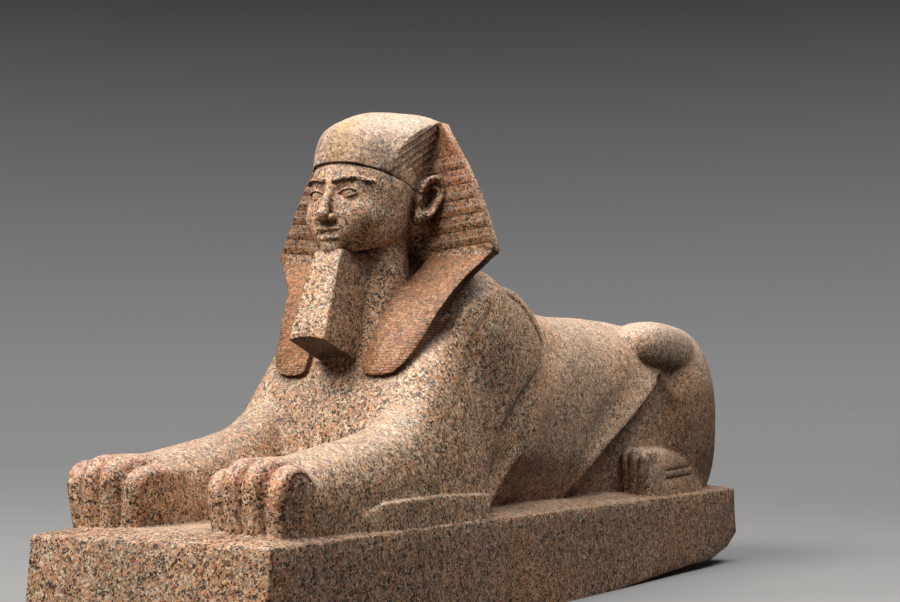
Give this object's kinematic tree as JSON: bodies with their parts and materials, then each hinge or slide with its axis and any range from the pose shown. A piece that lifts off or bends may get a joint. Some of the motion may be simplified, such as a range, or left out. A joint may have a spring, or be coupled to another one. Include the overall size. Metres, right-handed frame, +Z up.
{
  "type": "sphinx statue",
  "caption": "Recumbent royal sphinx with striped headcloth and false beard, carved with its plinth from one block of speckled red granite",
  "frame": {"origin": "under the middle of the plinth, on the plane that its underside rests on", "axes": "+Z up; the sphinx faces -Y and its left side is +X; the long axis is Y"},
  "size_m": [0.827, 3.4149, 1.6308],
  "materials": {
    "red_granite": "worn semi-matt polish on speckled salmon-pink, cream, grey and black granite"
  },
  "bodies": {
    "root": {"sphinx_statue": "red_granite"}
  },
  "joints": []
}
